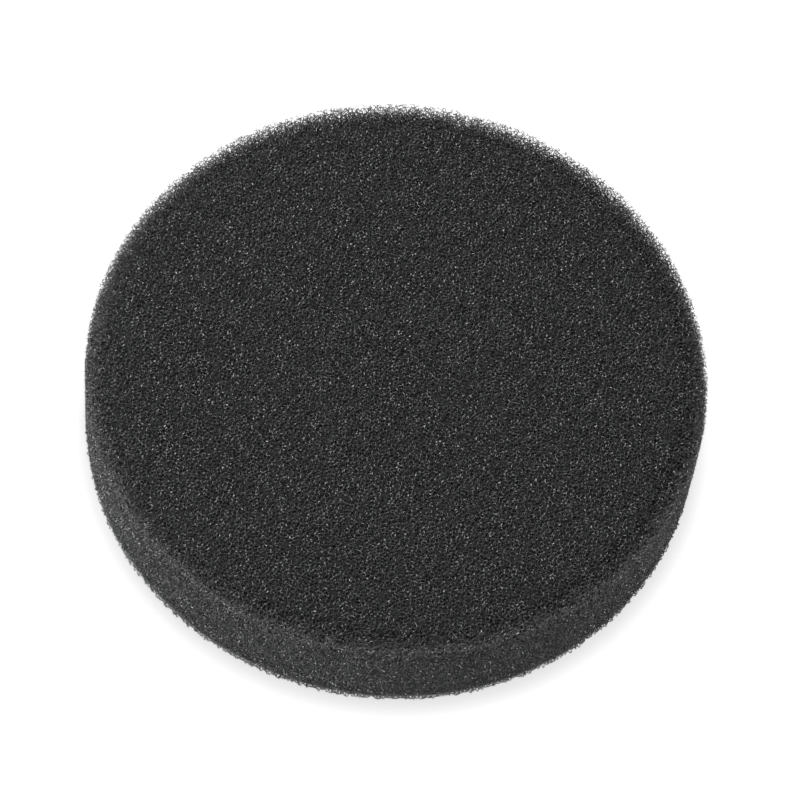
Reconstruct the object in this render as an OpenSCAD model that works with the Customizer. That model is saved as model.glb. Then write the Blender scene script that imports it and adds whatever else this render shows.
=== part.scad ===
// Flat foam polishing pad for a machine polisher, lying on its loop side.
// The open-cell foam is bonded to a knitted loop cloth that grips a hook plate.
// Millimetres, +Z up, origin at the middle of the loop face.

/* [Foam disc] */
// Diameter that the foam is cut to
foam_d = 150; // [75:1:230]
// Thickness of the foam
foam_t = 25.4; // [10:0.1:50]
// Rounding of the rim of the working face
rim_r = 0.8; // [0.3:0.1:3]
// Rounding of the foam's lower edge, next to the backing
heel_r = 0.4; // [0.2:0.1:2]

/* [Loop backing] */
// How far the backing's cut edge stays inside the foam's
backing_inset = 0.3; // [0:0.1:5]
// How far the bond film stays inside the backing's cut edge
film_inset = 0.5; // [0.2:0.1:5]
// Thickness of the bond film
film_t = 0.2; // [0.1:0.05:0.5]
// Thickness of the knitted ground cloth
ground_t = 0.4; // [0.3:0.05:1]
// Rounding of the ground cloth's cut edge
ground_edge_r = 0.1; // [0.05:0.01:0.14]

/* [Loop pile] */
// Height of the loops below the ground cloth
pile_h = 0.8; // [0.5:0.1:3]
// Depth of the matted roots that join the rows of loops
root_t = 0.25; // [0.1:0.05:0.4]
// Distance from one row of loops to the next
row_pitch = 1.6; // [1.2:0.1:3]
// Width of a row of loops
row_w = 1; // [0.7:0.1:1.1]
// Rounding of the tops of the loops
row_r = 0.25; // [0.1:0.05:0.3]

/* [Hidden] */
$fn = 96;
edge_fn = 32;                        // facets of a small edge rounding
foam_r = foam_d / 2;
backing_r = foam_r - backing_inset;
film_r = backing_r - film_inset;
ground_z = pile_h;                   // the loops stand on the floor
film_z = ground_z + ground_t;
foam_z = film_z + film_t;
rows_each_side = floor((backing_r - row_w / 2) / row_pitch);

// A disc turned from its half section, with its two outer corners rounded.
module turned_disc(r, t, low_r, top_r) {
    rotate_extrude()
        union() {
            square([r - max(low_r, top_r), t]);
            translate([0, low_r])
                square([r, t - low_r - top_r]);
            translate([r - low_r, low_r])
                circle(r = low_r, $fn = edge_fn);
            translate([r - top_r, t - top_r])
                circle(r = top_r, $fn = edge_fn);
            square([r - low_r, low_r]);
            translate([0, t - top_r])
                square([r - top_r, top_r]);
        }
}

// The cut block of open-cell foam, working face up.
module foam_disc() {
    color("#303234")
        translate([0, 0, foam_z])
            turned_disc(foam_r, foam_t, heel_r, rim_r);
}

// The melted film that bonds the cloth to the foam.
module bond_film() {
    color("#1c1c1e")
        translate([0, 0, film_z])
            cylinder(r = film_r, h = film_t);
}

// The knitted cloth that the loops are rooted in.
module loop_ground() {
    color("#222224")
        translate([0, 0, ground_z])
            turned_disc(backing_r, ground_t, ground_edge_r, ground_edge_r);
}

// One row of loops in section, its crown down at the floor.
module row_section() {
    translate([-row_w / 2, row_r])
        square([row_w, pile_h - row_r]);
    translate([-row_w / 2 + row_r, 0])
        square([row_w - 2 * row_r, row_r]);
    for (side = [-1, 1])
        translate([side * (row_w / 2 - row_r), row_r])
            circle(r = row_r, $fn = edge_fn);
}

// All the rows in section, joined by their matted roots under the cloth.
module pile_section() {
    for (i = [-rows_each_side : rows_each_side])
        translate([i * row_pitch, 0])
            row_section();
    translate([-backing_r, pile_h - root_t])
        square([2 * backing_r, root_t]);
}

// The rows of loops, cut round with the cloth.
module loop_pile() {
    color("#2a2a2c")
        intersection() {
            rotate([90, 0, 0])
                linear_extrude(height = 2 * backing_r, center = true)
                    pile_section();
            cylinder(r = backing_r, h = pile_h);
        }
}

foam_disc();
bond_film();
loop_ground();
loop_pile();
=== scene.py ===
import itertools
import math

import bpy
import numpy as np
from mathutils import Matrix, Vector


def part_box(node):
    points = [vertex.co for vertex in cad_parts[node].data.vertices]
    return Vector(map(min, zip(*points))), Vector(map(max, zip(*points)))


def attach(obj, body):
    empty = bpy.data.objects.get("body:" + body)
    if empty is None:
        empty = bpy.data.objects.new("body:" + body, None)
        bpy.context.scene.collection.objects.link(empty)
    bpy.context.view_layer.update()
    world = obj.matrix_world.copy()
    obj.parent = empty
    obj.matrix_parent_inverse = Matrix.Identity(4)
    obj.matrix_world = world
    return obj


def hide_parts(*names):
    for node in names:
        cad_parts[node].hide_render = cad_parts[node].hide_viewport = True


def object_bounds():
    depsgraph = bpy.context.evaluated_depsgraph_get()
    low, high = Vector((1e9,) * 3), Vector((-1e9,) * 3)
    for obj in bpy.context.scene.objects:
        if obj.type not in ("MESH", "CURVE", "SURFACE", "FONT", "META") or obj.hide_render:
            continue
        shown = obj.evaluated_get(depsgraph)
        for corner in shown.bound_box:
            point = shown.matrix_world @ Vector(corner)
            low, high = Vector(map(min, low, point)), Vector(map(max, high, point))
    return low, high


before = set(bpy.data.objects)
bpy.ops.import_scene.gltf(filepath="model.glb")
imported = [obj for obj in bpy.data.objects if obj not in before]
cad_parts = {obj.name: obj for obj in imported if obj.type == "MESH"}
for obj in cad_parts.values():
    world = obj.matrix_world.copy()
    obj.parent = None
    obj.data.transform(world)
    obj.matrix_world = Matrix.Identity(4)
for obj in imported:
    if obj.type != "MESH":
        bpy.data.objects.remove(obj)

# A flat foam polishing pad that lies on its loop cloth, working face up.
# Lengths are in metres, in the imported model's frame.

MM = 0.001
TINY = 1e-9                 # keeps divisions off zero and comparisons off rounding errors
cad_low, cad_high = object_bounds()

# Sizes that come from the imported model
foam_low, foam_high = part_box("foam_disc")
ground_low, ground_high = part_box("loop_ground")
pile_low, pile_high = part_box("loop_pile")
FOAM_R = (foam_high.x - foam_low.x) / 2
FOAM_TOP = foam_high.z
FOAM_FOOT = foam_low.z
CLOTH_R = (pile_high.y - pile_low.y) / 2
GROUND_FOOT = ground_low.z
GROUND_TOP = ground_high.z

# Seeds of the random numbers
FOAM_SEED = 11
BLOCK_SEED = 5
GROUND_SEED = 21
LOOP_SEED = 33

# The foam: a network of struts round open cells, over a dark inner block
CELL = 0.92 * MM            # the side of a cube as large as a cell
JOINT = 0.101 * MM          # from the middle of a joint to its corners
LEAST_JOINT = 0.8           # the smallest joint, as a share of JOINT
JOINT_RANGE = 0.45          # how much larger the largest one is, as a share of JOINT
TIP_SHARE = 0.75            # how thick a cut strut's tip is, as a share of its root
PUSHES = 40                 # rounds in which crowded cells push each other apart
PUSH_REACH = 1.12           # how far apart, in CELL, two cells stop pushing
PUSH_SHARE = 0.25           # share of their push that the cells give way in a round
EVENINGS = 3                # rounds in which each joint moves halfway to the middle of its neighbours
SINK = 0.1                  # how far joints may lie inside the inner block, in CELL
FACET_DEPTH = 0.35 * MM     # struts down to here keep their flat sides; deeper ones are smooth
STUBS_KEPT = 0.6            # share of the cut struts off the rims that aren't torn away
SHORTEST_STUB = 0.05        # least share of its length that a cut strut keeps
PROUD = 0.5 * MM            # how far cut struts may stand out of the cut
RIM_ROUND = 0.5 * MM        # rounding of the cut rims
STRUT_DEPTH = 0.7 * MM      # how deep the struts go before the inner block begins
RIM_INSET = 6.5 * MM        # how far in from the rim the see-through edge starts
RIM_DROP = 12.0 * MM        # how far down the side it reaches
RIM_REACH = 10.0 * MM       # how far from the upper rim joints are missing and struts thinner
RIM_OPENING = 0.4           # share of the joints missing at the upper rim itself
RIM_THINNING = 0.2          # share of their thickness that the struts lose there
BLOCK_STEP = 1.2 * MM       # between the inner block's vertices along its profile
BLOCK_SIDES = 360           # and how many there are round it
BLOCK_SEAT = 0.5 * MM       # up to here above its foot the inner block stays even
BLOCK_WAVES = (60, 2.2 * MM, 5 * MM)    # how many waves it has, the shortest and the longest
BLOCK_RIPPLE = 0.12 * MM    # how uneven the inner block is just below the struts
BEVEL_SWELL = 5.0           # how many times more uneven it is where it lies deeper
SWELL_DEPTH = 2.0 * MM      # over this much more depth the unevenness grows to that
EDGE_REACH = 3.0 * MM       # how far from both rims the cut is frayed
EDGE_FRAY = 1.2             # how much further cut struts may stand out at the rims, as a share
SECTORS = 20                # the network is made in slices, each of a workable size

# The loop cloth on the underside
GROUND_R = (ground_high.y - ground_low.y) / 2
GROUND_SOFTNESS = 0.3       # rounding of the cloth's cut edge, as a share of its thickness
GROUND_STEP = 1.5 * MM      # between the cloth's vertices along its profile
GROUND_SIDES = 480          # and how many there are round it
GROUND_WAVES = (20, 1.5 * MM, 6 * MM)   # how many waves it has, the shortest and the longest
GROUND_SWAY = 0.06 * MM     # how uneven the cloth is
ROW_PITCH = 1.6 * MM        # between rows of loops, as in the solid
LOOP_STEP = 0.85 * MM       # from one loop to the next in a row
LOOP_SPAN = 0.75 * MM       # between the two feet of a loop
LOOP_THREAD = 0.1 * MM      # radius of the thread
EDGE_THREAD = 0.155 * MM    # the same round the cut edge, where several cling together
THREAD_SIDES = 3            # sides of a thread
LOOP_BENDS = 5              # straight stretches along a loop's arch
LOOP_STRAY = 0.1            # how far loops stray from their place, in LOOP_STEP
LOOP_MARGIN = 0.45          # how far in from the edge the rows end, in LOOP_SPAN
LOOP_TWIST = 0.5            # how far loops turn out of line, in radians
LOOP_LEAN = 0.12 * MM       # how far the heads in the rows lean
SPAN_RANGE = (0.8, 1.2)     # the narrowest and the widest loop, in LOOP_SPAN
DROP_RANGE = (0.82, 1.0)    # the lowest and the tallest loop, as a share of the pile's depth
LOOP_FULLNESS = 0.7         # 1 for an arch like a sine; less makes its shoulders fuller
ROOT_SINK = 0.5             # how deep a loop's feet are sunk in the cloth, in thread radii
EDGE_LOOPS = 1.7            # how many times the loops round the cut edge overlap
EDGE_STRAY = 0.3            # how far they stray along the edge, as a share of their step
EDGE_INSET = (0.2, 0.6)     # how far in from the edge they stand, in LOOP_SPAN
EDGE_SPLAY = 0.9 * MM       # how far their heads reach out, at most
EDGE_SPLAY_RANGE = (0.2, 1) # the least and the most of that that a head has
LOOP_BANDS = 5              # the loops are made in bands, each of a workable size

BAKE_MARGIN = 0.01          # kept free round the square of a piece's texture map

# The struts' skin, from dark to pale in patches, and paler still at the upper rim, where painted
# light stands in for the light that falls on the rim's struts from above and from the side
STRUT_DARK = (0.0085, 0.0094, 0.009)
STRUT_PALE = (0.0175, 0.0185, 0.018)
STRUT_RIM_LIGHT = (0.045, 0.046, 0.045)
RIM_LIGHT_REACH = 5.5 * MM       # how far from the upper rim the painted rim light reaches
RIM_LIGHT_SHARE = 0.75           # how much of the painted rim light's colour the rim itself has

# The foam's depths, painted shade: dark in the middle of each patch, where the hollows lie in shade,
# and paler towards its edges
DEPTHS_HOLLOW_SHADE = (0.004, 0.004, 0.004)
DEPTHS_PALE = (0.016, 0.017, 0.0165)

# The cloth, its threads and the bond film: dark, pale and roughness
GROUND_LOOK = ((0.016, 0.016, 0.018), (0.034, 0.034, 0.036), 0.7)
LOOP_LOOK = ((0.006, 0.006, 0.0065), (0.018, 0.018, 0.019), 0.5)
FILM_LOOK = ((0.01, 0.01, 0.011), (0.02, 0.02, 0.021), 0.4)

# The studio's own brightness, on top of its lights, and its sheet of paper
WORLD_GLOW = 0.25
FLOOR_GLOW = 0.66
FLOOR_REACH = 12.0          # from the pad to the paper's edges
PAPER_TONES = ((0.80, 0.80, 0.80), (0.82, 0.82, 0.82))

# The lights, which all aim at the pad's foot: where each stands, its width and its watts
LIGHTS = {
    "key": ((-0.83, 0.75, 0.9), 0.38, 45),
    "side": ((-1.0, -0.3, 0.15), 0.3, 21),
    "fill": ((0.35, -0.9, 0.35), 0.3, 15),
    "overhead": ((-0.03, 0.075, 1.0), 0.28, 3.8),
}

# Image points, in the photograph's frame
W, H = 800, 800
POINTS = {
    "left_x": 85,
    "right_x": 708,
    "top_y": 105,
    "bottom_y": 700,
    "rim_front": (397, 652),
    "rim_front_left": (249, 617),
    "rim_front_right": (550, 621),
    "rim_left": (138, 524),
    "rim_right": (637, 558),
    "foot_left": (162, 601),
    "foot_right": (630, 600),
}

POINT_ANGLE = math.radians(0.6)     # vertices this near a point's direction are compared with it
RIM_BAND = 0.8 * MM                 # the rim's vertices lie this near its circle

# The camera looks close to the pad's middle from the front, turned a little about its own axis
CAMERA_LENS = 173.25        # millimetres, on a sensor 36 wide
CAMERA_SENSOR = 36.0
CAMERA_DISTANCE = 0.9370
CAMERA_SIGHT = (0.01, 20)   # the nearest and the furthest that it sees
CAMERA_ELEVATION = math.radians(62.01)
CAMERA_ROLL = math.radians(7.2)
CAMERA_AIM = Vector((0.00152, -0.00150, (cad_low.z + cad_high.z) / 2))


def make_camera():
    """The camera that sees the pad as the photograph does."""
    data = bpy.data.cameras.new("camera")
    data.lens = CAMERA_LENS
    data.sensor_width = CAMERA_SENSOR
    data.sensor_fit = "AUTO"
    data.clip_start, data.clip_end = CAMERA_SIGHT
    back = Vector((0, -math.cos(CAMERA_ELEVATION), math.sin(CAMERA_ELEVATION)))
    right = Vector((1, 0, 0))
    up = back.cross(right)
    turned_right = math.cos(CAMERA_ROLL) * right + math.sin(CAMERA_ROLL) * up
    turned_up = back.cross(turned_right)
    axes = Matrix((turned_right, turned_up, back)).transposed()
    camera = bpy.data.objects.new("camera", data)
    camera.matrix_world = Matrix.Translation(CAMERA_AIM + CAMERA_DISTANCE * back) @ axes.to_4x4()
    bpy.context.scene.collection.objects.link(camera)
    bpy.context.scene.camera = camera
    return camera


def image_place(camera, points):
    """Where points in space (n, 3) come in the photograph's frame, as (n, 2)."""
    eye = np.array(camera.matrix_world.inverted())
    seen = points @ eye[:3, :3].T + eye[:3, 3]
    scale = CAMERA_LENS / CAMERA_SENSOR * max(W, H) / -seen[:, 2]
    return np.stack([W / 2 + seen[:, 0] * scale, H / 2 - seen[:, 1] * scale], axis=1)


def show_differences(camera, pieces):
    """How far in x and y each named point's thing shows from it, by the finished vertices."""
    points = np.concatenate([vertices_of(piece) for piece in pieces])
    seen = image_place(camera, points)
    middle = image_place(camera, np.array([[0, 0, FOAM_TOP]]))[0]
    way = seen - middle
    direction = np.arctan2(way[:, 1], way[:, 0])
    reach = np.hypot(*way.T)
    rim = np.hypot(np.hypot(points[:, 0], points[:, 1]) - FOAM_R, points[:, 2] - FOAM_TOP) < RIM_BAND
    rows = {
        "left_x": [seen[:, 0].min() - POINTS["left_x"], 0],
        "right_x": [seen[:, 0].max() - POINTS["right_x"], 0],
        "top_y": [0, seen[:, 1].min() - POINTS["top_y"]],
        "bottom_y": [0, seen[:, 1].max() - POINTS["bottom_y"]],
    }
    for name, point in POINTS.items():
        if name in rows:
            continue
        toward = np.array(point) - middle
        turn = (direction - math.atan2(toward[1], toward[0]) + np.pi) % (2 * np.pi) - np.pi
        here = np.abs(turn) < POINT_ANGLE
        if name.startswith("rim"):
            shown = seen[here & rim].mean(axis=0)
        else:
            shown = seen[here][np.argmax(reach[here])]
        rows[name] = [shown[0] - point[0], shown[1] - point[1]]
    return {name: [round(float(x), 1), round(float(y), 1)] for name, (x, y) in rows.items()}


def vertices_of(piece):
    """The places of a piece's vertices, as (n, 3)."""
    points = np.empty(3 * len(piece.data.vertices), dtype=np.float32)
    piece.data.vertices.foreach_get("co", points)
    return points.reshape(-1, 3)


# ---------------------------------------------------------------- mesh code

def make_object(name, vertices, faces, corners_per_face, smooth=True):
    """A mesh object from arrays of vertices and faces; smooth is one answer, or one for each face."""
    mesh = bpy.data.meshes.new(name)
    count = len(faces)
    mesh.vertices.add(len(vertices))
    mesh.vertices.foreach_set("co", np.ascontiguousarray(vertices, dtype=np.float32).ravel())
    mesh.loops.add(count * corners_per_face)
    mesh.loops.foreach_set("vertex_index", np.ascontiguousarray(faces, dtype=np.int32).ravel())
    mesh.polygons.add(count)
    mesh.polygons.foreach_set("loop_start", np.arange(count, dtype=np.int32) * corners_per_face)
    mesh.polygons.foreach_set("use_smooth", np.broadcast_to(smooth, count).copy())
    mesh.update(calc_edges=True)
    mesh.validate()
    piece = bpy.data.objects.new(name, mesh)
    bpy.context.scene.collection.objects.link(piece)
    return piece


def waves(rng, count, shortest, longest, height):
    """A smooth random field of shear waves, which bends what it moves but packs nothing closer.

    Along each axis, its root mean square is height.
    """
    directions = rng.normal(size=(count, 3))
    directions /= np.linalg.norm(directions, axis=1, keepdims=True)
    sideways = np.cross(directions, rng.normal(size=(count, 3)))
    sideways /= np.linalg.norm(sideways, axis=1, keepdims=True)
    lengths = rng.uniform(shortest, longest, count)
    swing = height * math.sqrt(6 / count) * sideways
    return directions * (2 * np.pi / lengths)[:, None], rng.uniform(0, 2 * np.pi, count), swing


def wave_shift(points, field):
    """How far the field moves each point, along x, y and z."""
    numbers, phases, swing = field
    return np.sin(points @ numbers.T + phases) @ swing


def depth_in_foam(points):
    """How deep points lie in the foam disc with its rounded rims; negative outside."""
    out = np.hypot(points[:, 0], points[:, 1]) - (FOAM_R - RIM_ROUND)
    up = np.maximum(
        points[:, 2] - (FOAM_TOP - RIM_ROUND), FOAM_FOOT + RIM_ROUND - points[:, 2]
    )
    corner = np.hypot(np.maximum(out, 0), np.maximum(up, 0))
    return RIM_ROUND - corner - np.minimum(np.maximum(out, up), 0)


def nearness_to_rim(points):
    """1 at the upper rim, where the foam is seen through, and 0 from RIM_REACH on."""
    out = FOAM_R - np.hypot(points[:, 0], points[:, 1])
    down = FOAM_TOP - points[:, 2]
    return np.clip(1 - np.hypot(out, down) / RIM_REACH, 0, 1)


def nearness_to_edges(points):
    """1 at the upper and the lower rim, where the cut is frayed, and 0 from EDGE_REACH on."""
    out = FOAM_R - np.hypot(points[:, 0], points[:, 1])
    off = np.minimum(FOAM_TOP - points[:, 2], points[:, 2] - FOAM_FOOT)
    return np.clip(1 - np.hypot(out, off) / EDGE_REACH, 0, 1)


def depth_in_block(points):
    """How deep points lie in the inner block, whose upper edge is bevelled under the rim."""
    from_axis = np.hypot(points[:, 0], points[:, 1])
    below_top = FOAM_TOP - points[:, 2]
    slope = math.hypot(RIM_INSET, RIM_DROP)
    bevel = (
        (FOAM_R - from_axis) * RIM_DROP + (below_top - RIM_DROP) * RIM_INSET
    ) / slope
    side = FOAM_R - STRUT_DEPTH - from_axis
    top = below_top - STRUT_DEPTH
    return np.minimum(np.minimum(side, top), bevel)


# ---------------------------------------------------------------- the foam's struts
#
# The foam is cut from cubes of one random foam, which fit on each other on every side. Cell
# middles are pushed apart in the cube until they lie evenly. A joint is a place as near to four
# middles as to any other, and a strut runs between two joints that share three of their cells.
# Each joint has a corner towards each of its four cells, and a strut joins the corners of its
# two ends in the three cells that lie round it.

CUBE_CELLS = 640
CUBE = CELL * CUBE_CELLS ** (1 / 3)
CUBE_MARGIN = 0.9 * CUBE + CELL     # a little more than from a cube's middle to its corners
NEAR = 26                   # neighbours of a cell that may touch it
FLAT = 1e-6                 # four cells this near to one plane, in CELL cubed, share no joint
OTHERS = np.array([[1, 2, 3], [0, 2, 3], [0, 1, 3], [0, 1, 2]])     # the other sides of each side
THICKNESS, TORN, STAND, MISSING = 7, 8, 9, 10                       # channels of mixed numbers

# Large odd factors and shifts, which scramble the bits of a key in a different way for each channel
KEY_FACTOR = np.uint64(6364136223846793005)
ROUND_FACTOR = np.uint64(0x9E3779B97F4A7C15)
CHANNEL_FACTOR = 1442695041
CHANNEL_START = 977
SHIFTS = (33, 29, 32)
FLOAT_BITS = 53             # as many bits as a number holds exactly


def mixed(keys, channel):
    """A number from 0 to 1 for each key, the same wherever the key comes up."""
    x = keys.astype(np.uint64) * KEY_FACTOR + np.uint64(channel * CHANNEL_FACTOR + CHANNEL_START)
    for shift in SHIFTS:
        x = (x ^ (x >> np.uint64(shift))) * ROUND_FACTOR
    return (x >> np.uint64(64 - FLOAT_BITS)).astype(float) / 2**FLOAT_BITS


def random_turn(rng):
    """A turn that lines the cubes up with no face of the disc."""
    turn, _ = np.linalg.qr(rng.normal(size=(3, 3)))
    return turn * np.sign(np.linalg.det(turn))


def packed_middles(rng):
    """Cell middles in the cube, pushed apart until none crowds another."""
    middles = rng.uniform(0, CUBE, (CUBE_CELLS, 3))
    for _ in range(PUSHES):
        apart = middles[:, None] - middles[None]
        apart -= CUBE * np.round(apart / CUBE)
        distance = np.linalg.norm(apart, axis=2) + TINY
        push = np.clip(PUSH_REACH * CELL / distance - 1, 0, 1)
        np.fill_diagonal(push, 0)
        middles += PUSH_SHARE * (apart * push[..., None]).sum(axis=1)
    return middles % CUBE


def joints_of(middles):
    """Each joint's place, its four cells in rising order, and the cubes that they lie in."""
    apart = middles[None] - middles[:, None]
    image = -np.round(apart / CUBE)
    apart += CUBE * image
    squares = (apart**2).sum(axis=2)
    nearest = np.argsort(squares, axis=1)[:, 1 : NEAR + 1]
    triples = np.array(list(itertools.combinations(range(NEAR), 3)))
    places, cells, cubes = [], [], []
    for cell, near in enumerate(nearest):
        later = triples[(near[triples] > cell).all(axis=1)]
        around, square = apart[cell, near], squares[cell, near]
        a, b, c = around[later[:, 0]], around[later[:, 1]], around[later[:, 2]]
        bc, ca, ab = np.cross(b, c), np.cross(c, a), np.cross(a, b)
        volume = (a * bc).sum(axis=1)
        volume[np.abs(volume) < FLAT * CELL**3] = np.inf
        weight = square[later][..., None]
        middle = (weight[:, 0] * bc + weight[:, 1] * ca + weight[:, 2] * ab) / (2 * volume[:, None])
        none_nearer = (middle @ around.T <= square / 2 + TINY * CELL**2).all(axis=1)
        empty = none_nearer & np.isfinite(volume)
        found = near[later[empty]]
        places.append(middles[cell] + middle[empty])
        cells.append(np.column_stack([np.full(len(found), cell), found]))
        cubes.append(np.concatenate([np.zeros((len(found), 1, 3)), image[cell, found]], axis=1))
    places, cells, cubes = np.concatenate(places), np.concatenate(cells), np.concatenate(cubes)
    rising = np.argsort(cells, axis=1)
    cells = np.take_along_axis(cells, rising, axis=1)
    return places, cells, np.take_along_axis(cubes, rising[..., None], axis=1).astype(int)


def struts_of(cells, cubes):
    """The joints at each strut's ends, the cell opposite it at each, and the step between cubes."""
    three = cells[:, OTHERS]
    base = cubes[:, OTHERS[:, 0]]
    beside = cubes[:, OTHERS[:, 1:]] - base[:, :, None]
    key = (three[..., 0] * CUBE_CELLS + three[..., 1]) * CUBE_CELLS + three[..., 2]
    # Along each axis the second and third cell lie -2 to 2 cubes from the first: one of five
    for step in np.moveaxis(beside.reshape(len(cells), 4, 6), 2, 0):
        key = key * 5 + step + 2
    key = key.ravel()
    order = np.argsort(key, kind="stable")
    same = key[order[1:]] == key[order[:-1]]
    first, second = order[:-1][same], order[1:][same]
    step = base.reshape(-1, 3)[first] - base.reshape(-1, 3)[second]
    return first // 4, second // 4, first % 4, second % 4, step


def foam_cube(rng):
    """The cube of foam: joints, the directions of their corners, and struts."""
    places, cells, cubes = joints_of(packed_middles(rng))
    start, end, start_side, end_side, step = struts_of(cells, cubes)
    for _ in range(EVENINGS):
        total = np.zeros_like(places)
        count = np.zeros(len(places))
        np.add.at(total, start, places[end] + CUBE * step)
        np.add.at(total, end, places[start] - CUBE * step)
        np.add.at(count, start, 1)
        np.add.at(count, end, 1)
        places = (places + total / count[:, None]) / 2
    heading = places[end] + CUBE * step - places[start]
    heading /= np.linalg.norm(heading, axis=1, keepdims=True)
    corners = np.zeros((len(places), 4, 3))
    corners[start, start_side] = -heading
    corners[end, end_side] = heading
    return {
        "places": places,
        "corners": corners,
        "start": start,
        "end": end,
        "start_side": start_side,
        "end_side": end_side,
        "step": step,
    }


def cubes_near_surface(turn):
    """The steps of the cubes that hold foam where the struts are wanted."""
    reach = math.ceil((FOAM_R + CUBE) / CUBE)
    steps = np.arange(-reach, reach + 1)
    grid = np.stack(np.meshgrid(steps, steps, steps, indexing="ij"), axis=-1).reshape(-1, 3)
    middle = (grid + 0.5) * CUBE @ turn.T + (0, 0, FOAM_FOOT)
    near_foam = depth_in_foam(middle) > -CUBE_MARGIN
    return grid[near_foam & (depth_in_block(middle) < CUBE_MARGIN)]


def foam_network(rng):
    """The joints' corners, and the struts as pairs of joints with their corners in each."""
    cube = foam_cube(rng)
    turn = random_turn(rng)
    grid = cubes_near_surface(turn)
    low = grid.min(axis=0) - 2
    slot = np.full(grid.max(axis=0) - low + 3, -1)
    slot[tuple((grid - low).T)] = np.arange(len(grid))
    in_cube = len(cube["places"])
    places = (cube["places"][None] + CUBE * grid[:, None]) @ turn.T + (0, 0, FOAM_FOOT)
    places = places.reshape(-1, 3)
    inside = depth_in_foam(places) > 0
    active = inside & (depth_in_block(places) < SINK * CELL)

    first_of = np.arange(len(grid))[:, None] * in_cube
    beyond = slot[tuple(np.moveaxis(grid[:, None] + cube["step"][None] - low, 2, 0))]
    known = (beyond >= 0).ravel()
    starts = (first_of + cube["start"]).ravel()
    ends = np.stack([starts, (beyond * in_cube + cube["end"]).ravel()])
    sides = np.stack([np.tile(cube[side], len(grid)) for side in ("start_side", "end_side")])
    missing = mixed(np.arange(len(places)), MISSING) < RIM_OPENING * nearness_to_rim(places) ** 2
    keep = known & active[ends].any(axis=0) & ~missing[ends].any(axis=0)
    ends, sides = ends[:, keep], sides[:, keep]

    # Each strut starts at a joint that is wanted, so that only its end can lie outside the foam
    swap = ~active[ends[0]]
    ends[:, swap], sides[:, swap] = ends[::-1, swap], sides[::-1, swap]
    at_rim = nearness_to_edges(places[ends[0]]) > 0
    torn = ~inside[ends[1]] & ~at_rim & (mixed(ends[1], TORN) > STUBS_KEPT)
    ends, sides = ends[:, ~torn], sides[:, ~torn]

    thickness = JOINT * (LEAST_JOINT + JOINT_RANGE * mixed(np.arange(len(places)), THICKNESS))
    thickness *= 1 - RIM_THINNING * np.sqrt(nearness_to_rim(places))
    used = np.unique(ends)
    corners = np.zeros((len(places), 4, 3), dtype=np.float32)
    direction = cube["corners"] @ turn.T
    corners[used] = places[used, None] + thickness[used, None, None] * direction[used % in_cube]
    return {
        "places": places,
        "corners": corners,
        "inside": inside,
        "start": ends[0],
        "end": ends[1],
        "start_cells": OTHERS[sides[0]],
        "end_cells": OTHERS[sides[1]],
    }


def turned_outward(start_points, end_points):
    """True where a strut's three corners run anticlockwise seen from its far end."""
    heading = end_points.mean(axis=1) - start_points.mean(axis=1)
    across = np.cross(
        start_points[:, 1] - start_points[:, 0], start_points[:, 2] - start_points[:, 0]
    )
    return (across * heading).sum(axis=1) > 0


def turned_over(rows, which):
    """Rows of three, with the last two exchanged in the chosen ones."""
    return np.where(which[:, None], rows[:, [0, 2, 1]], rows)


def strut_mesh(net, chosen):
    """The chosen struts as closed triangles: three sides each, cut ends and closed joint faces."""
    start, end = net["start"][chosen], net["end"][chosen]
    start_cells, end_cells = net["start_cells"][chosen], net["end_cells"][chosen]
    corners = net["corners"]
    start_points = corners[start[:, None], start_cells].astype(float)
    end_points = corners[end[:, None], end_cells].astype(float)
    flip = ~turned_outward(start_points, end_points)
    start_cells, end_cells = turned_over(start_cells, flip), turned_over(end_cells, flip)
    start_points = corners[start[:, None], start_cells].astype(float)
    end_points = corners[end[:, None], end_cells].astype(float)

    cut = ~net["inside"][end]
    used = np.unique(np.concatenate([start, end[~cut]]))
    slot = np.full(len(corners), -1)
    slot[used] = np.arange(len(used))
    vertices = [corners[used].reshape(-1, 3)]
    start_index = slot[start][:, None] * 4 + start_cells
    end_index = slot[end][:, None] * 4 + end_cells
    triangles = []

    def add_sides(low, high):
        """The three sides between a strut's corners at both ends, as two triangles each."""
        for i, j in ((0, 1), (1, 2), (2, 0)):
            triangles.append(np.stack([low[:, i], low[:, j], high[:, j]], axis=1))
            triangles.append(np.stack([low[:, i], high[:, j], high[:, i]], axis=1))

    add_sides(start_index[~cut], end_index[~cut])

    # Struts that leave the foam are cut off near its surface: most of them low, some up to PROUD
    # above it, and more and further at the frayed rims
    near, far = start_points[cut], end_points[cut]
    fray = 1 + EDGE_FRAY * nearness_to_edges(near.mean(axis=1))
    stand = -PROUD * fray * mixed(end[cut], STAND) ** (2 / fray)
    near_depth = depth_in_foam(near.mean(axis=1))
    far_depth = depth_in_foam(far.mean(axis=1))
    share = (near_depth - stand) / np.maximum(near_depth - far_depth, TINY)
    share = np.clip(share, SHORTEST_STUB, 1)
    tip = near + share[:, None, None] * (far - near)
    core = tip.mean(axis=1, keepdims=True)
    vertices.append((core + TIP_SHARE * (tip - core)).reshape(-1, 3))
    ends = 4 * len(used) + np.arange(3 * len(tip)).reshape(-1, 3)
    add_sides(start_index[cut], ends)
    triangles.append(ends)

    # A joint's face towards a strut that isn't made is closed. The numbers of a joint's four
    # sides add up to 6, so 6 less those of a strut's three cells is the side that it leaves by
    made = np.zeros((len(used), 4), dtype=bool)
    made[slot[start], 6 - start_cells.sum(axis=1)] = True
    made[slot[end[~cut]], 6 - end_cells[~cut].sum(axis=1)] = True
    joint, missing = np.nonzero(~made)
    face = joint[:, None] * 4 + OTHERS[missing]
    points = vertices[0][face]
    normal = np.cross(points[:, 1] - points[:, 0], points[:, 2] - points[:, 0])
    inward = (normal * (points.mean(axis=1) - net["places"][used[joint]])).sum(axis=1) < 0
    triangles.append(turned_over(face, inward))
    return np.concatenate(vertices), np.concatenate(triangles)


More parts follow.
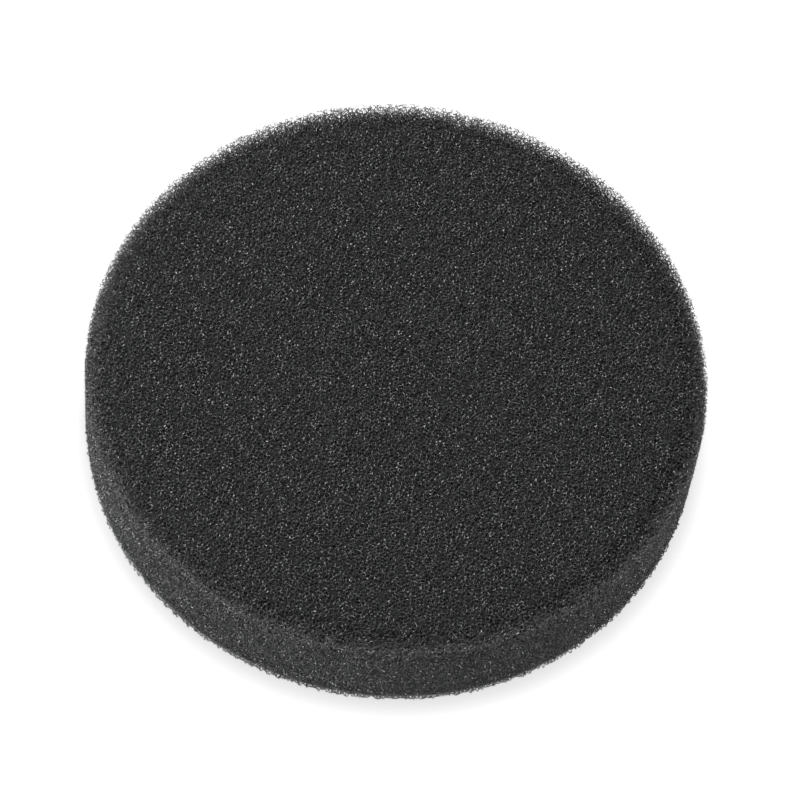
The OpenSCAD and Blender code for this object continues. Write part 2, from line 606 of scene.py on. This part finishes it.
def unrolled(points):
    """Texture places: the angle round the disc, and the way out over the face and down the side."""
    from_axis = np.hypot(points[:, 0], points[:, 1])
    angle = np.arctan2(points[:, 1], points[:, 0]) / (2 * np.pi) % 1
    way = np.where(
        FOAM_TOP - points[:, 2] < FOAM_R - from_axis, from_axis, FOAM_R + FOAM_TOP - points[:, 2]
    )
    return angle, way


def add_bake_map(piece, u, v):
    """A texture map named OFBake, from two numbers at each vertex, spread over the square."""
    mesh = piece.data
    index = np.empty(len(mesh.loops), dtype=np.int32)
    mesh.loops.foreach_get("vertex_index", index)
    room = 1 - 2 * BAKE_MARGIN
    spread = [(k - k.min()) / max(np.ptp(k), TINY) * room + BAKE_MARGIN for k in (u, v)]
    layer = mesh.uv_layers.new(name="OFBake")
    layer.data.foreach_set("uv", np.stack([spread[0][index], spread[1][index]], axis=1).ravel())


def make_foam_struts(material):
    """The network of struts, in slices round the disc."""
    net = foam_network(np.random.default_rng(FOAM_SEED))
    angle, _ = unrolled(net["places"][net["start"]])
    sector = np.minimum((angle * SECTORS).astype(int), SECTORS - 1)
    pieces = []
    for k in range(SECTORS):
        vertices, triangles = strut_mesh(net, sector == k)
        deep = depth_in_foam(vertices[triangles].mean(axis=1)) > FACET_DEPTH
        piece = make_object(f"foam_cells_{k + 1:02d}", vertices, triangles, 3, smooth=deep)
        around, way = unrolled(vertices)
        add_bake_map(piece, (around - (k + 0.5) / SECTORS + 0.5) % 1, way)
        piece.data.materials.append(material)
        pieces.append(piece)
    return pieces


# ---------------------------------------------------------------- lathe-turned pieces

def turned(profile, steps):
    """A closed solid turned about z from a profile of (radius, height), both ends on the axis."""
    profile = np.array(profile)
    rings = profile[1:-1]
    angle = np.arange(steps) * 2 * np.pi / steps
    ring_points = np.stack(
        [
            rings[:, None, 0] * np.cos(angle),
            rings[:, None, 0] * np.sin(angle),
            np.repeat(rings[:, None, 1], steps, axis=1),
        ],
        axis=-1,
    ).reshape(-1, 3)
    ends = np.array([[0, 0, profile[0][1]], [0, 0, profile[-1][1]]])
    vertices = np.concatenate([ring_points, ends])
    here = np.arange(steps)
    after = (here + 1) % steps
    triangles = []
    for k in range(len(rings) - 1):
        a, b = k * steps, (k + 1) * steps
        triangles.append(np.stack([a + here, a + after, b + after], axis=1))
        triangles.append(np.stack([a + here, b + after, b + here], axis=1))
    low, high = len(ring_points), len(ring_points) + 1
    last = (len(rings) - 1) * steps
    triangles.append(np.stack([np.full(steps, low), after, here], axis=1))
    triangles.append(np.stack([last + here, last + after, np.full(steps, high)], axis=1))
    return vertices, np.concatenate(triangles)


def along(points, step):
    """A profile with extra points, no further apart than step."""
    path = [points[0]]
    for a, b in zip(points[:-1], points[1:]):
        count = max(1, math.ceil(math.dist(a, b) / step))
        path += [
            (a[0] + (b[0] - a[0]) * k / count, a[1] + (b[1] - a[1]) * k / count)
            for k in range(1, count + 1)
        ]
    return path


def make_foam_block(material):
    """The dark heart of the foam, which stops the eye below the struts; its near-black colour is
    painted shade for the foam's depths.
    """
    side = FOAM_R - STRUT_DEPTH
    top = FOAM_TOP - STRUT_DEPTH
    slope = RIM_INSET / RIM_DROP
    bevel_foot = FOAM_TOP - RIM_DROP + STRUT_DEPTH / slope
    bevel_head = FOAM_R - RIM_INSET + STRUT_DEPTH * slope
    profile = along(
        [(0, FOAM_FOOT), (side, FOAM_FOOT), (side, bevel_foot), (bevel_head, top), (0, top)],
        BLOCK_STEP,
    )
    vertices, triangles = turned(profile, BLOCK_SIDES)
    field = waves(np.random.default_rng(BLOCK_SEED), *BLOCK_WAVES, BLOCK_RIPPLE)
    loose = vertices[:, 2] > FOAM_FOOT + BLOCK_SEAT
    covered = np.clip((depth_in_foam(vertices[loose]) - STRUT_DEPTH) / SWELL_DEPTH, 0, 1)
    swell = 1 + (BEVEL_SWELL - 1) * covered[:, None]
    vertices[loose] += swell * wave_shift(vertices[loose], field)
    piece = make_object("foam_block", vertices, triangles, 3)
    add_bake_map(piece, vertices[:, 0], vertices[:, 1])
    piece.data.materials.append(material)
    return piece


# ---------------------------------------------------------------- the loop cloth

def make_ground_cloth(material):
    """The knitted cloth that carries the loops: a thin disc with a soft, slightly uneven cut edge."""
    thick = GROUND_TOP - GROUND_FOOT
    soft = GROUND_SOFTNESS * thick
    profile = along(
        [
            (0, GROUND_FOOT),
            (GROUND_R - soft, GROUND_FOOT),
            (GROUND_R, GROUND_FOOT + soft),
            (GROUND_R, GROUND_TOP - soft),
            (GROUND_R - soft, GROUND_TOP),
            (0, GROUND_TOP),
        ],
        GROUND_STEP,
    )
    vertices, triangles = turned(profile, GROUND_SIDES)
    field = waves(np.random.default_rng(GROUND_SEED), *GROUND_WAVES, GROUND_SWAY)
    sway = wave_shift(vertices, field)
    sway[:, 2] *= np.where(vertices[:, 2] < GROUND_FOOT + soft / 2, 1.0, 0.0)
    piece = make_object("ground_cloth", vertices + sway, triangles, 3)
    add_bake_map(piece, vertices[:, 0], vertices[:, 1])
    piece.data.materials.append(material)
    return piece


def loop_places(rng):
    """Where the loops stand, which way each one runs, how far its head leans and how thick it is.

    They stand in rows, and once more round the cut edge, where they are splayed outward.
    """
    rows = np.arange(-CLOTH_R, CLOTH_R, ROW_PITCH) + ROW_PITCH / 2
    steps = np.arange(-CLOTH_R, CLOTH_R, LOOP_STEP)
    x, y = np.meshgrid(rows, steps, indexing="ij")
    y = y + (np.arange(len(rows)) % 2 * LOOP_STEP / 2)[:, None]
    spot = np.stack([x.ravel(), y.ravel()], axis=1)
    spot += rng.normal(0, LOOP_STRAY * LOOP_STEP, spot.shape)
    spot = spot[np.hypot(*spot.T) < CLOTH_R - LOOP_MARGIN * LOOP_SPAN]
    turn = np.pi / 2 + rng.normal(0, LOOP_TWIST, len(spot))
    lean = rng.normal(0, LOOP_LEAN, spot.shape)

    edge_count = int(2 * np.pi * CLOTH_R * EDGE_LOOPS / LOOP_SPAN)
    stray = rng.uniform(-EDGE_STRAY, EDGE_STRAY, edge_count)
    angle = (np.arange(edge_count) + stray) * 2 * np.pi / edge_count
    outward = np.stack([np.cos(angle), np.sin(angle)], axis=1)
    edge = (CLOTH_R - rng.uniform(*EDGE_INSET, (edge_count, 1)) * LOOP_SPAN) * outward
    edge_turn = angle + np.pi / 2 + rng.normal(0, LOOP_TWIST, edge_count)
    edge_lean = EDGE_SPLAY * rng.uniform(*EDGE_SPLAY_RANGE, (edge_count, 1)) * outward
    return (
        np.concatenate([spot, edge]),
        np.concatenate([turn, edge_turn]),
        np.concatenate([lean, edge_lean]),
        np.repeat([LOOP_THREAD, EDGE_THREAD], [len(spot), edge_count]),
    )


def loop_threads(rng, spot, turn, lean, thread):
    """Arched threads that hang from the cloth, one for each place, as closed tubes."""
    count = len(spot)
    way = np.linspace(0, np.pi, LOOP_BENDS + 1)
    span = LOOP_SPAN * rng.uniform(*SPAN_RANGE, (count, 1))
    drop = (GROUND_FOOT - thread[:, None]) * rng.uniform(*DROP_RANGE, (count, 1))
    run = -span / 2 * np.cos(way)
    low = np.sin(way) ** LOOP_FULLNESS
    forward = np.stack([np.cos(turn), np.sin(turn)], axis=1)
    path = np.empty((count, LOOP_BENDS + 1, 3))
    path[..., :2] = spot[:, None] + run[..., None] * forward[:, None] + low[:, None] * lean[:, None]
    root = ROOT_SINK * thread[:, None]
    path[..., 2] = GROUND_FOOT + root - (drop + root) * low
    tangent = np.gradient(path, axis=1)
    tangent /= np.linalg.norm(tangent, axis=2, keepdims=True)
    sideways = np.zeros((count, 1, 3))
    sideways[:, 0, 0], sideways[:, 0, 1] = -forward[:, 1], forward[:, 0]
    upward = np.cross(tangent, sideways)
    around = np.arange(THREAD_SIDES) * 2 * np.pi / THREAD_SIDES
    circle = (
        np.cos(around)[:, None] * sideways[:, :, None] + np.sin(around)[:, None] * upward[:, :, None]
    )
    rings = path[:, :, None] + thread[:, None, None, None] * circle
    vertices = rings.reshape(-1, 3)
    ring = (np.arange(count)[:, None] * (LOOP_BENDS + 1) + np.arange(LOOP_BENDS)) * THREAD_SIDES
    triangles = []
    for k in range(THREAD_SIDES):
        here, after = ring + k, ring + (k + 1) % THREAD_SIDES
        next_here, next_after = here + THREAD_SIDES, after + THREAD_SIDES
        triangles.append(np.stack([here, after, next_after], axis=-1).reshape(-1, 3))
        triangles.append(np.stack([here, next_after, next_here], axis=-1).reshape(-1, 3))
    first = ring[:, :1]
    last = ring[:, -1:] + THREAD_SIDES
    triangles.append(first + [0, 2, 1])
    triangles.append(last + [0, 1, 2])
    return vertices, np.concatenate(triangles)


def make_loops(material):
    """The pile of loops, in bands across the disc."""
    rng = np.random.default_rng(LOOP_SEED)
    spot, turn, lean, thread = loop_places(rng)
    edges = np.quantile(spot[:, 0], np.arange(1, LOOP_BANDS) / LOOP_BANDS)
    band = np.searchsorted(edges, spot[:, 0])
    pieces = []
    for k in range(LOOP_BANDS):
        here = band == k
        vertices, triangles = loop_threads(rng, spot[here], turn[here], lean[here], thread[here])
        piece = make_object(f"loops_{k + 1}", vertices, triangles, 3)
        add_bake_map(piece, vertices[:, 0], vertices[:, 1])
        piece.data.materials.append(material)
        pieces.append(piece)
    return pieces


# ---------------------------------------------------------------- materials

class Value:
    """A socket of a shader; sums on it add Math nodes to the same tree."""

    def __init__(self, tree, socket):
        self.tree = tree
        self.socket = socket

    def _math(self, operation, *terms):
        return add_node(self.tree, "ShaderNodeMath", {"operation": operation}, dict(enumerate(terms)))

    def __add__(self, other):
        return self._math("ADD", self, other)

    def __radd__(self, other):
        return self._math("ADD", other, self)

    def __rsub__(self, other):
        return self._math("SUBTRACT", other, self)

    def __mul__(self, other):
        return self._math("MULTIPLY", self, other)

    def __rmul__(self, other):
        return self._math("MULTIPLY", other, self)

    def __pow__(self, other):
        return self._math("POWER", self, other)


def add_node(tree, kind, settings=None, sockets=None, output=0):
    """Adds one node: its settings first, then the values or links of its sockets."""
    node = tree.nodes.new(kind)
    for name, value in (settings or {}).items():
        setattr(node, name, value)
    for name, value in (sockets or {}).items():
        if isinstance(value, Value):
            tree.links.new(value.socket, node.inputs[name])
        else:
            node.inputs[name].default_value = value
    return Value(tree, node.outputs[output])


def new_material(name):
    """An empty material and its node tree."""
    material = bpy.data.materials.new(name)
    material.use_nodes = True
    material.node_tree.nodes.clear()
    return material, material.node_tree


def finish_surface(tree, **sockets):
    """The Principled shader with the given sockets, as the material's surface."""
    named = {name.replace("_", " "): value for name, value in sockets.items()}
    surface = add_node(tree, "ShaderNodeBsdfPrincipled", {}, named)
    add_node_output(tree, surface)


def add_node_output(tree, surface):
    """Makes a shader the material's surface."""
    output = tree.nodes.new("ShaderNodeOutputMaterial")
    tree.links.new(surface.socket, output.inputs["Surface"])


def place_of(tree):
    """The place on the piece, in metres from its origin."""
    return add_node(tree, "ShaderNodeTexCoord", output="Object")


def noise(tree, where, scale, detail=2):
    """Random patches from 0 to 1, finer with a larger scale."""
    sockets = {"Vector": where, "Scale": scale, "Detail": detail}
    return add_node(tree, "ShaderNodeTexNoise", {}, sockets)


def bumps(tree, pattern, strength, height):
    """Normals for a surface that is uneven by a pattern."""
    sockets = {"Strength": strength, "Distance": height, "Height": pattern}
    return add_node(tree, "ShaderNodeBump", {}, sockets)


def mix_colours(tree, factor, low, high):
    """One colour to another by a factor; either may be a link or three numbers."""
    low, high = (c if isinstance(c, Value) else (*c, 1) for c in (low, high))
    settings = {"data_type": "RGBA"}
    return add_node(tree, "ShaderNodeMix", settings, {"Factor": factor, 6: low, 7: high}, 2)


def painted_rim_light(tree, where):
    """1 at the upper rim, where painted light turns the struts paler, and 0 as far out as that
    painted light reaches.
    """
    x, y, z = (
        add_node(tree, "ShaderNodeSeparateXYZ", {}, {"Vector": where}, axis) for axis in "XYZ"
    )
    out = FOAM_R - (x * x + y * y) ** 0.5
    down = FOAM_TOP - z
    near = 1 - (out * out + down * down) ** 0.5 * (1 / RIM_LIGHT_REACH)
    return add_node(tree, "ShaderNodeClamp", {}, {"Value": near})


def strut_material():
    """Black polyurethane with a satin skin, a little dusty in places, with painted light that makes
    it paler at the cut rim.
    """
    material, tree = new_material("foam_strut")
    where = place_of(tree)
    patches = noise(tree, where, scale=35, detail=3)
    fine = noise(tree, where, scale=900)
    tone = mix_colours(tree, patches * 0.5 + fine * 0.5, STRUT_DARK, STRUT_PALE)
    # Painted light: the struts turn paler towards the upper rim, where light falls on them from above
    # and from the side
    rim_light = painted_rim_light(tree, where)
    tone = mix_colours(tree, RIM_LIGHT_SHARE * rim_light**2, tone, STRUT_RIM_LIGHT)
    finish_surface(tree, Base_Color=tone, Roughness=0.37 + 0.08 * fine)
    return material


def depth_shade_material():
    """The foam's depths, seen between the struts: nearly black, painted shade that darkens towards
    each cell's middle.
    """
    material, tree = new_material("foam_depth_shade")
    where = place_of(tree)
    cells = add_node(
        tree,
        "ShaderNodeTexVoronoi",
        {"feature": "DISTANCE_TO_EDGE"},
        {"Vector": where, "Scale": 1 / CELL},
    )
    patches = noise(tree, where, scale=60)
    # Painted shade: each cell darkens from its pale edge to its middle, where the hollow lies in
    # shade
    tone = mix_colours(tree, cells * 2.0, DEPTHS_PALE, DEPTHS_HOLLOW_SHADE)
    bump = bumps(tree, cells, strength=0.6, height=0.3 * MM)
    finish_surface(
        tree,
        Base_Color=tone,
        Roughness=0.8 + 0.15 * patches,
        Specular_IOR_Level=0.1,
        Normal=bump,
    )
    return material


def cloth_material(name, low, high, roughness):
    """Black cloth or film, from a low to a high colour in fine fibres and wide patches."""
    material, tree = new_material(name)
    where = place_of(tree)
    fibres = noise(tree, where, scale=2500, detail=3)
    patches = noise(tree, where, scale=40)
    tone = mix_colours(tree, fibres * 0.6 + patches * 0.4, low, high)
    bump = bumps(tree, fibres, strength=0.4, height=0.1 * MM)
    finish_surface(tree, Base_Color=tone, Roughness=roughness + 0.1 * fibres, Normal=bump)
    return material


def floor_material():
    """White paper, which lets the camera through from below."""
    material, tree = new_material("floor")
    where = place_of(tree)
    grain = noise(tree, where, scale=300)
    tone = mix_colours(tree, grain, *PAPER_TONES)
    look = {
        "Base Color": tone,
        "Roughness": 0.9,
        "Specular IOR Level": 0.0,
        "Emission Color": (1, 1, 1, 1),
        "Emission Strength": FLOOR_GLOW,
    }
    paper = add_node(tree, "ShaderNodeBsdfPrincipled", {}, look)
    clear = add_node(tree, "ShaderNodeBsdfTransparent")
    under = add_node(tree, "ShaderNodeNewGeometry", output="Backfacing")
    add_node_output(tree, add_node(tree, "ShaderNodeMixShader", {}, {0: under, 1: paper, 2: clear}))
    return material


# ---------------------------------------------------------------- floor and light

def make_floor():
    """The sheet of paper under the pad."""
    corners = [(-1, -1, 0), (1, -1, 0), (1, 1, 0), (-1, 1, 0)]
    vertices = FLOOR_REACH * np.array(corners)
    floor = make_object("floor", vertices, np.array([[0, 1, 2, 3]]), 4, smooth=False)
    floor.data.materials.append(floor_material())
    return floor


def make_light(name, place, size, power):
    """A round lamp that aims at the middle of the pad's foot."""
    data = bpy.data.lights.new(name, "AREA")
    data.shape = "DISK"
    data.size = size
    data.energy = power
    light = bpy.data.objects.new(name, data)
    light.location = place
    light.rotation_euler = (-Vector(place)).to_track_quat("-Z", "Y").to_euler()
    bpy.context.scene.collection.objects.link(light)
    return light


def let_fall_on(light, things):
    """The light falls on these things alone; everything still shades them."""
    receivers = bpy.data.collections.new(light.name + "_falls_on")
    for thing in things:
        receivers.objects.link(thing)
    light.light_linking.receiver_collection = receivers


def make_lights(floor, pad):
    """Three lights for the pad, which bring out its cells, and one for the shade at its foot."""
    world = bpy.data.worlds.new("studio")
    world.use_nodes = True
    world.node_tree.nodes.clear()
    sky = {"Color": (1, 1, 1, 1), "Strength": WORLD_GLOW}
    glow = add_node(world.node_tree, "ShaderNodeBackground", {}, sky)
    output = world.node_tree.nodes.new("ShaderNodeOutputWorld")
    world.node_tree.links.new(glow.socket, output.inputs["Surface"])
    bpy.context.scene.world = world
    for name, values in LIGHTS.items():
        let_fall_on(make_light(name, *values), [floor] if name == "overhead" else pad)
    bpy.context.scene.view_settings.view_transform = "Standard"


# ---------------------------------------------------------------- the pad

camera = make_camera()
struts = make_foam_struts(strut_material())
block = make_foam_block(depth_shade_material())
for piece in [block, *struts]:
    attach(piece, "root")
    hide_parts("foam_disc")

cloth = make_ground_cloth(cloth_material("ground_cloth", *GROUND_LOOK))
loops = make_loops(cloth_material("loop_thread", *LOOP_LOOK))
for piece in [cloth, *loops]:
    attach(piece, "root")
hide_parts("loop_ground")
for piece in loops:
    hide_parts("loop_pile")

film = bpy.data.objects["bond_film"]
film.data.materials.clear()
film.data.materials.append(cloth_material("bond_film", *FILM_LOOK))

floor = make_floor()
make_lights(floor, [*struts, block, cloth, *loops, film])

show_differences(camera, [*struts, *loops])
